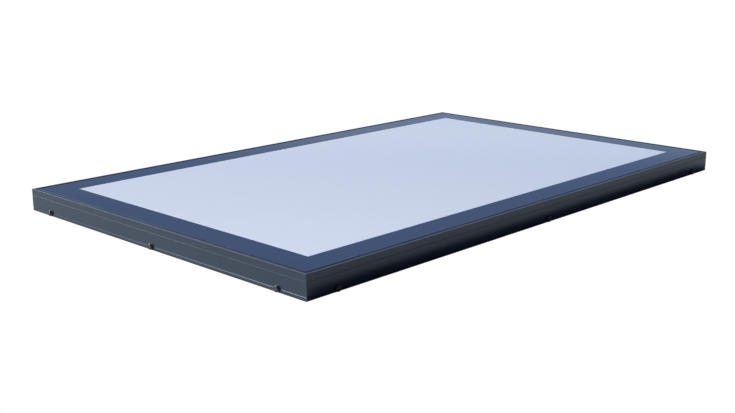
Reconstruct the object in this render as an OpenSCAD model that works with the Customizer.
// Fixed flat-glass roof skylight: a mitred aluminium frame with a skirt that drops over a roof kerb,
// a stepped double-glazed unit bonded into it, a clip-on inner lining and capped side fixings.
// The origin is the centre of the footprint, on the plane of the skirt's bottom edge. +X runs along
// the length, +Y across the width, +Z up. Sections are drawn as (distance in from the frame's outer
// face, height), and each side is drawn as the front one and turned into place.

/* [Kerb that the skylight fits over] */
// Length over the kerb's outer faces
kerb_length = 1600; // [1000:10:2400]
// Width over the kerb's outer faces
kerb_width = 1000; // [600:10:1500]
// Thickness of the kerb's wall
kerb_thickness = 50; // [40:1:80]
// Depth of kerb that the skirt covers
kerb_cover = 28; // [22:0.5:60]
// Play between the kerb and what stands beside it
kerb_play = 1.5; // [1:0.1:4]

/* [Frame extrusion] */
// Thickness of the outer wall
wall_t = 2.5; // [1.6:0.1:4]
// Width of the upstand above the shelf, which is the lip round the glass
lip_w = 5; // [3:0.5:8]
// Thickness of the shelf, the bearing web and the chamber's inner wall
web_t = 2; // [1.4:0.1:3]
// Thickness of the rib between the two chambers
rib_t = 1.5; // [1.2:0.1:2.5]
// Clear height inside the chambers
chamber_h = 10.5; // [8:0.5:30]
// Clear width of the outer chamber
outer_chamber_w = 20.5; // [10:0.5:24]
// Height of the scored line on the outer face
score_h = 39.5; // [30:0.5:44]
// Width of the scored line
score_w = 0.9; // [0.6:0.1:2]
// Depth of the scored line
score_depth = 0.5; // [0.3:0.05:1]
// Width of the drill line that the fixings sit on
drill_line_w = 2.2; // [1:0.1:3]
// Depth of the drill line
drill_line_depth = 0.95; // [0.4:0.1:1.2]
// Chamfer on the outer wall's long edges
edge_chamfer = 0.3; // [0.1:0.05:0.6]
// Length taken off each end, so that two mitres meet with a hairline between them
mitre_relief = 0.1; // [0.05:0.05:0.3]

/* [Glass unit] */
// Thickness of the toughened outer pane
outer_pane_t = 6; // [4:0.5:10]
// Thickness of the laminated inner pane
inner_pane_t = 8.8; // [6:0.1:13]
// Width of the gas-filled gap between the panes
cavity_t = 16; // [10:1:20]
// Flat ground on each pane's edges
pane_arris = 0.5; // [0.2:0.1:1]
// How far the lip stands above the glass
lip_rise = 0.5; // [0:0.1:1.5]
// Gap between the outer pane's edge and the lip
edge_gap = 8; // [5:0.5:10]
// Width of the sealant round the spacer
edge_sealant_w = 5; // [4:0.5:8]
// Width of the spacer bar
spacer_w = 6.5; // [5:0.5:10]
// Wall of the spacer bar
spacer_wall = 0.8; // [0.4:0.1:1]
// Length of the key that closes the spacer bar
key_length = 60; // [40:5:100]
// Play round the key
key_play = 0.1; // [0.05:0.05:0.3]
// Thickness of each butyl bead between the spacer and a pane
butyl_t = 0.3; // [0.2:0.1:0.6]

/* [Bond and seals] */
// Thickness of the bond between the shelf and the outer pane
bond_t = 3.5; // [3:0.5:8]
// Width of the structural silicone
bond_w = 15; // [10:0.5:16]
// Width of the foam glazing tape
tape_w = 7; // [5:0.5:8]
// Space left beside the bond and the tape
bond_margin = 2; // [1:0.5:3]
// Depth of the weather seal at the top of the edge gap
weather_seal_depth = 4.5; // [3:0.5:6]
// How far the weather seal's top lies below the glass
weather_seal_drop = 0.5; // [0:0.1:1]
// Length of an edge packer
packer_length = 50; // [30:5:100]
// Thickness of the kerb gasket
gasket_t = 3; // [2:0.5:6]
// Bare margin each side of the kerb gasket
gasket_margin = 3.5; // [1:0.5:8]
// Width of the air seal between the lining and the glass unit
air_seal_w = 4; // [3:0.5:8]
// Height of the air seal
air_seal_h = 7; // [4:0.5:8]

/* [Inner lining] */
// Width of the lining's hollow box
lining_box_w = 12; // [10:0.5:20]
// Wall of the lining's box
lining_wall = 1.5; // [1.2:0.1:2.5]
// Thickness of the leg that lines the kerb
lining_leg_t = 2.5; // [1.5:0.1:4]
// Gap under the leg
lining_lift = 1; // [0.5:0.5:4]
// Play round the rib that holds the lining
clip_play = 0.25; // [0.1:0.05:0.5]
// Height of the clip rib's neck
clip_neck_h = 2; // [1.5:0.1:3]
// Length of the clip rib's neck
clip_neck_l = 2; // [1.8:0.1:3.4]
// Height of the clip rib's head
clip_head_h = 4; // [3.5:0.1:6]
// Length of the clip rib's head
clip_head_l = 1.5; // [1:0.1:2]

/* [Corner cleats] */
// Length of each leg of a cleat
cleat_leg = 70; // [50:5:120]
// Play between a cleat and its chamber
cleat_play = 0.2; // [0.1:0.05:0.5]
// Diameter of the pins that lock a cleat
pin_d = 4; // [3:0.5:5]
// Radial play round a pin
pin_play = 0.05; // [0.02:0.01:0.1]
// Distance between the two pins in a leg
pin_pitch = 18; // [12:1:30]

/* [Side fixings] */
// Fixings along each side
fixings_per_side = 3; // [2:1:7]
// Distance from the frame's corner to the first fixing
fixing_from_corner = 84; // [60:1:150]
// Height of the fixings and of the drill line
fixing_h = 8; // [8:0.5:14]
// Bore of the bush, for the kerb screw
bush_bore = 6.5; // [5:0.5:7]
// Outer diameter of the bush where it passes through the wall
bush_d = 9; // [8.5:0.5:10]
// Radial play between the bush and its hole
bush_play = 0.05; // [0.02:0.01:0.2]
// How far the bush stands out behind the wall
bush_tail = 0.8; // [0.3:0.1:1]
// Diameter of the bush's seat on the wall
seat_d = 11.6; // [10.5:0.1:12]
// Height of the bush's seat
seat_h = 0.9; // [0.6:0.1:1.5]
// How far the snap rim overhangs the seat
snap_lip = 0.4; // [0.2:0.1:0.6]
// Height of the snap rim
snap_h = 0.6; // [0.4:0.1:1]
// Play between the cap and the bush
cap_play = 0.15; // [0.1:0.05:0.3]
// Outer diameter of the cap
cap_d = 15; // [14.5:0.5:16]
// How far the cap stands out from the wall
cap_h = 5.6; // [4.5:0.1:7]
// Radius of the cap's rounded edge
cap_edge_r = 3; // [1.6:0.1:4]
// Thickness of the cap's face
cap_wall = 1.1; // [0.8:0.1:1.5]

/* [Hidden] */
$fn = 64;
TINY = 0.01; // tools overrun the faces that they cut by this much

FRONT = 0;
RIGHT = 1;
BACK = 2;
LEFT = 3;
SIDES = [FRONT, RIGHT, BACK, LEFT];

// Plan sizes
frame_length = kerb_length + 2 * (kerb_play + wall_t);
frame_width = kerb_width + 2 * (kerb_play + wall_t);
function run_of(side) = side % 2 == 0 ? frame_length : frame_width;
function span_of(side) = side % 2 == 0 ? frame_width : frame_length;

// Distances in from the frame's outer face
kerb_face_d = wall_t + kerb_play;
leg_d = kerb_face_d + kerb_thickness + kerb_play;
lining_d = leg_d + lining_leg_t;
box_d = lining_d - lining_box_w; // the frame ends and the lining begins
outer_chamber_d = wall_t + outer_chamber_w;
cleat_chamber_d = outer_chamber_d + rib_t;
cleat_chamber_end_d = box_d - web_t;
outer_pane_d = lip_w + edge_gap;
bond_d = outer_pane_d + bond_margin;
tape_d = bond_d + bond_w + bond_margin;
unit_d = lining_d + air_seal_w; // edge of the inner pane and its sealant
spacer_d = unit_d + edge_sealant_w;
sight_d = spacer_d + spacer_w;

// Heights
seat_z = kerb_cover;
web_z = seat_z + gasket_t;
chamber_z = web_z + web_t;
shelf_z = chamber_z + chamber_h + web_t; // top of the shelf
pane_z = shelf_z + bond_t;
glass_z = pane_z + outer_pane_t;
lip_z = glass_z + lip_rise;
inner_pane_top_z = pane_z - cavity_t;
inner_pane_z = inner_pane_top_z - inner_pane_t;
clip_z = (web_z + shelf_z) / 2;
weather_seal_z = glass_z - weather_seal_drop - weather_seal_depth;
air_seal_z = inner_pane_z + (inner_pane_t - air_seal_h) / 2;

// Side fixings
snap_d = seat_d + 2 * snap_lip;
function fixing_places(side) =
    let (reach = run_of(side) - 2 * fixing_from_corner)
    [for (i = [0 : fixings_per_side - 1]) reach * (i / (fixings_per_side - 1) - 1 / 2)];

// Corner cleats
cleat_d = cleat_chamber_d + cleat_play;
cleat_end_d = cleat_chamber_end_d - cleat_play;
cleat_mid_d = (cleat_d + cleat_end_d) / 2;
pin_places = [for (i = [-1, 1]) cleat_end_d + (cleat_leg - (cleat_end_d - cleat_d)) / 2 + i * pin_pitch / 2];

// Edge packers, two to a side
function packer_places(side) = [-run_of(side) / 4, run_of(side) / 4];

// ---- Placing ----

// Turns what is drawn for the front side, with its outer face on y = 0, into place on a side.
module on_side(side) {
    rotate([0, 0, 90 * side])
        translate([0, -span_of(side) / 2, 0])
            children();
}

// A straight length of a section along a side.
module length_of(side) {
    rotate([90, 0, 90])
        linear_extrude(run_of(side), center = true)
            children();
}

// The plan of a length that is mitred into its neighbours between two distances in.
module mitred_plan(side, d0, d1) {
    half = run_of(side) / 2 - mitre_relief;
    polygon([[-half + d0, d0], [half - d0, d0], [half - d1, d1], [-half + d1, d1]]);
}

// A section run along a side and mitred at both ends.
module mitred_length(side, d0, d1) {
    intersection() {
        length_of(side) children();
        translate([0, 0, -1])
            linear_extrude(lip_z + 2)
                mitred_plan(side, d0, d1);
    }
}

// A flat strip along a side, mitred at both ends.
module mitred_strip(side, d0, d1, z0, z1) {
    translate([0, 0, z0])
        linear_extrude(z1 - z0)
            mitred_plan(side, d0, d1);
}

// A closed rectangular ring between two distances in and two heights.
module ring(d0, d1, z0, z1) {
    translate([0, 0, z0])
        linear_extrude(z1 - z0)
            difference() {
                square([frame_length - 2 * d0, frame_width - 2 * d0], center = true);
                square([frame_length - 2 * d1, frame_width - 2 * d1], center = true);
            }
}

// ---- Frame ----

// The outer wall and the upstand on top of it, with the scored line, the drill line and chamfers.
module outer_wall_section() {
    polygon([
        [edge_chamfer, 0],
        [wall_t, 0],
        [wall_t, shelf_z - TINY],
        [lip_w, shelf_z - TINY],
        [lip_w, lip_z - edge_chamfer],
        [lip_w - edge_chamfer, lip_z],
        [edge_chamfer, lip_z],
        [0, lip_z - edge_chamfer],
        [0, score_h + score_w / 2],
        [score_depth, score_h],
        [0, score_h - score_w / 2],
        [0, fixing_h + drill_line_w / 2],
        [drill_line_depth, fixing_h + drill_line_w / 2 - drill_line_depth / 2],
        [0, fixing_h - drill_line_w / 2],
        [0, edge_chamfer],
    ]);
}

// The two chambers behind the outer wall, and the rib that the lining clips on to.
module chamber_section() {
    difference() {
        translate([wall_t - TINY, web_z])
            square([box_d - wall_t + TINY, shelf_z - web_z]);
        translate([wall_t, chamber_z])
            square([outer_chamber_w, chamber_h]);
        translate([cleat_chamber_d, chamber_z])
            square([cleat_chamber_end_d - cleat_chamber_d, chamber_h]);
    }
    translate([box_d - TINY, clip_z - clip_neck_h / 2])
        square([clip_neck_l + 2 * TINY, clip_neck_h]);
    translate([box_d + clip_neck_l, clip_z - clip_head_h / 2])
        square([clip_head_l, clip_head_h]);
}

module frame_side(side) {
    color("#3b4248")
        on_side(side)
            difference() {
                mitred_length(side, 0, lining_d) {
                    outer_wall_section();
                    chamber_section();
                }
                for (x = fixing_places(side))
                    translate([x, -1, fixing_h])
                        rotate([-90, 0, 0])
                            cylinder(h = wall_t + 2, r = bush_d / 2 + bush_play);
                for (end = [-1, 1], reach = pin_places)
                    translate([end * (run_of(side) / 2 - reach), cleat_mid_d, web_z - 1])
                        cylinder(h = web_t + 2, r = pin_d / 2 + pin_play);
            }
}

// ---- Corner cleats ----

// One cleat, drawn with the frame's corner at the origin and its legs along +X and +Y.
module corner_cleat() {
    reach = cleat_d + cleat_leg;
    color("silver")
        difference() {
            translate([0, 0, chamber_z + cleat_play])
                linear_extrude(chamber_h - 2 * cleat_play)
                    polygon([
                        [cleat_d, cleat_d], [reach, cleat_d], [reach, cleat_end_d],
                        [cleat_end_d, cleat_end_d], [cleat_end_d, reach], [cleat_d, reach],
                    ]);
            pins_in_corner(r = pin_d / 2 + pin_play, z0 = chamber_z - 1, z1 = shelf_z);
        }
}

module pins_in_corner(r, z0, z1) {
    for (reach = pin_places, place = [[reach, cleat_mid_d], [cleat_mid_d, reach]])
        translate([place[0], place[1], z0])
            cylinder(h = z1 - z0, r = r);
}

// Puts what is drawn for the front left corner into one of the four corners.
module in_corner(right, back) {
    mirror([right, 0, 0])
        mirror([0, back, 0])
            translate([-frame_length / 2, -frame_width / 2, 0])
                children();
}

module cleat_pins() {
    color("gainsboro")
        for (right = [0, 1], back = [0, 1])
            in_corner(right, back)
                pins_in_corner(r = pin_d / 2, z0 = web_z, z1 = shelf_z - web_t - cleat_play);
}

// ---- Inner lining ----

module lining_section() {
    slot_h = clip_neck_h + 2 * clip_play;
    difference() {
        translate([box_d, web_z])
            square([lining_box_w, shelf_z - web_z]);
        translate([box_d + lining_wall, web_z + lining_wall])
            square([lining_box_w - lining_wall - lining_leg_t, shelf_z - web_z - 2 * lining_wall]);
        translate([box_d - TINY, clip_z - slot_h / 2])
            square([lining_wall + 2 * TINY, slot_h]);
    }
    translate([leg_d, lining_lift])
        square([lining_leg_t, web_z - lining_lift + TINY]);
}

module lining_side(side) {
    color("white")
        on_side(side)
            mitred_length(side, box_d, lining_d)
                lining_section();
}

// ---- Glass unit ----

// A pane with its edges ground flat, between two heights.
module pane(d, z0, z1) {
    length = frame_length - 2 * d;
    width = frame_width - 2 * d;
    intersection() {
        rotate([90, 0, 90])
            linear_extrude(length, center = true)
                pane_section(width, z0, z1);
        rotate([90, 0, 0])
            linear_extrude(width, center = true)
                pane_section(length, z0, z1);
    }
}

module pane_section(across, z0, z1) {
    half = across / 2;
    flat = half - pane_arris;
    polygon([
        [-flat, z0], [flat, z0], [half, z0 + pane_arris], [half, z1 - pane_arris],
        [flat, z1], [-flat, z1], [-half, z1 - pane_arris], [-half, z0 + pane_arris],
    ]);
}

module outer_pane() {
    color("lightsteelblue")
        pane(outer_pane_d, pane_z, glass_z);
}

module inner_pane() {
    color("lightcyan")
        pane(unit_d, inner_pane_z, inner_pane_top_z);
}

// The hollow bar, bent round at its corners and closed by a key halfway along the back side.
module spacer_bar() {
    color("lightgray")
        difference() {
            ring(spacer_d, sight_d, inner_pane_top_z + butyl_t, pane_z - butyl_t);
            spacer_bore();
        }
}

module spacer_bore() {
    ring(
        spacer_d + spacer_wall, sight_d - spacer_wall,
        inner_pane_top_z + butyl_t + spacer_wall, pane_z - butyl_t - spacer_wall
    );
}

module spacer_key() {
    color("dimgray")
        translate([
            -key_length / 2,
            frame_width / 2 - sight_d + spacer_wall + key_play,
            inner_pane_top_z + butyl_t + spacer_wall + key_play,
        ])
            cube([
                key_length,
                spacer_w - 2 * (spacer_wall + key_play),
                cavity_t - 2 * (butyl_t + spacer_wall + key_play),
            ]);
}

// The drying beads that fill the bar on both sides of the key.
module desiccant() {
    color("tan")
        difference() {
            spacer_bore();
            translate([-key_length / 2 - key_play, frame_width / 2 - sight_d, inner_pane_top_z])
                cube([key_length + 2 * key_play, spacer_w, cavity_t]);
        }
}

module butyl_beads() {
    color("black") {
        ring(spacer_d, sight_d, inner_pane_top_z, inner_pane_top_z + butyl_t);
        ring(spacer_d, sight_d, pane_z - butyl_t, pane_z);
    }
}

module edge_sealant() {
    color("#202224")
        ring(unit_d, spacer_d, inner_pane_top_z, pane_z);
}

// ---- Bond and seals ----

module structural_silicone() {
    color("#26282a")
        ring(bond_d, bond_d + bond_w, shelf_z, pane_z);
}

module glazing_tape() {
    color("#303336")
        ring(tape_d, tape_d + tape_w, shelf_z, pane_z);
}

// What is drawn at the middle of the front side, with its outer face on y = 0, at each packer's place.
module at_packers() {
    for (side = SIDES)
        on_side(side)
            for (x = packer_places(side))
                translate([x, 0, 0])
                    children();
}

// A packer's block between the lip and the outer pane's edge, grown sideways and in height by over.
module packer(over = 0) {
    translate([-packer_length / 2, lip_w - over, shelf_z - over])
        cube([packer_length, edge_gap + 2 * over, weather_seal_z - shelf_z + 2 * over]);
}

module edge_packers() {
    color("dodgerblue")
        at_packers()
            packer();
}

// Foam strip that carries the weather seal, in lengths between the packers.
module backer_strips() {
    color("gray")
        difference() {
            ring(lip_w, outer_pane_d, shelf_z, weather_seal_z);
            at_packers()
                packer(over = 1);
        }
}

module weather_seal() {
    color("#1c1e20")
        ring(lip_w, outer_pane_d, weather_seal_z, glass_z - weather_seal_drop);
}

module kerb_gasket(side) {
    color("#2b2b2b")
        on_side(side)
            mitred_strip(side, wall_t + gasket_margin, box_d - gasket_margin, seat_z, web_z);
}

module air_seal() {
    color("#2b2b2b")
        ring(lining_d, unit_d, air_seal_z, air_seal_z + air_seal_h);
}

// ---- Side fixings ----

// Puts what is drawn along +Z, with the wall's outer face at z = 0, at every fixing, pointing out.
module at_fixings() {
    for (side = SIDES)
        on_side(side)
            for (x = fixing_places(side))
                translate([x, 0, fixing_h])
                    rotate([90, 0, 0])
                        children();
}

// The bush that isolates the kerb screw from the wall. Its snap rim holds the cap.
module fixing_bush() {
    difference() {
        union() {
            translate([0, 0, -wall_t - bush_tail])
                cylinder(h = wall_t + bush_tail + TINY, d = bush_d);
            cylinder(h = seat_h, d = seat_d);
            translate([0, 0, seat_h - TINY])
                cylinder(h = snap_h + TINY, d = snap_d);
        }
        translate([0, 0, -wall_t - bush_tail - 1])
            cylinder(h = wall_t + bush_tail + seat_h + snap_h + 2, d = bush_bore);
    }
}

module fixing_bushes() {
    color("dimgray")
        at_fixings()
            fixing_bush();
}

// A round post whose top edge is rounded.
module rounded_post(d, h, edge_r) {
    steps = 8;
    rotate_extrude()
        polygon(concat(
            [[0, 0], [d / 2, 0]],
            [for (i = [0 : steps])
                let (a = 90 * i / steps)
                    [d / 2 - edge_r * (1 - cos(a)), h - edge_r * (1 - sin(a))]],
            [[0, h]]
        ));
}

// The snap-on cap: a round cap with a rounded edge, hollow, with a hook behind the snap rim.
module fixing_cap() {
    hook_h = seat_h - cap_play;
    difference() {
        rounded_post(cap_d, cap_h, cap_edge_r);
        translate([0, 0, -1])
            cylinder(h = hook_h + 1 + TINY, d = seat_d + 2 * cap_play);
        translate([0, 0, hook_h])
            rounded_post(snap_d + 2 * cap_play, cap_h - cap_wall - hook_h, cap_edge_r - cap_wall);
    }
}

module fixing_caps() {
    color("#3b4248")
        at_fixings()
            fixing_cap();
}

// ---- Nodes ----

frame_side(FRONT);  // frame_front
frame_side(BACK);  // frame_back
frame_side(LEFT);  // frame_left
frame_side(RIGHT);  // frame_right
in_corner(0, 0) corner_cleat();  // corner_cleat_front_left
in_corner(1, 0) corner_cleat();  // corner_cleat_front_right
in_corner(0, 1) corner_cleat();  // corner_cleat_back_left
in_corner(1, 1) corner_cleat();  // corner_cleat_back_right
cleat_pins();
lining_side(FRONT);  // lining_front
lining_side(BACK);  // lining_back
lining_side(LEFT);  // lining_left
lining_side(RIGHT);  // lining_right
outer_pane();
inner_pane();
spacer_bar();
spacer_key();
desiccant();
butyl_beads();
edge_sealant();
structural_silicone();
glazing_tape();
edge_packers();
backer_strips();
weather_seal();
kerb_gasket(FRONT);  // kerb_gasket_front
kerb_gasket(BACK);  // kerb_gasket_back
kerb_gasket(LEFT);  // kerb_gasket_left
kerb_gasket(RIGHT);  // kerb_gasket_right
air_seal();
fixing_bushes();
fixing_caps();
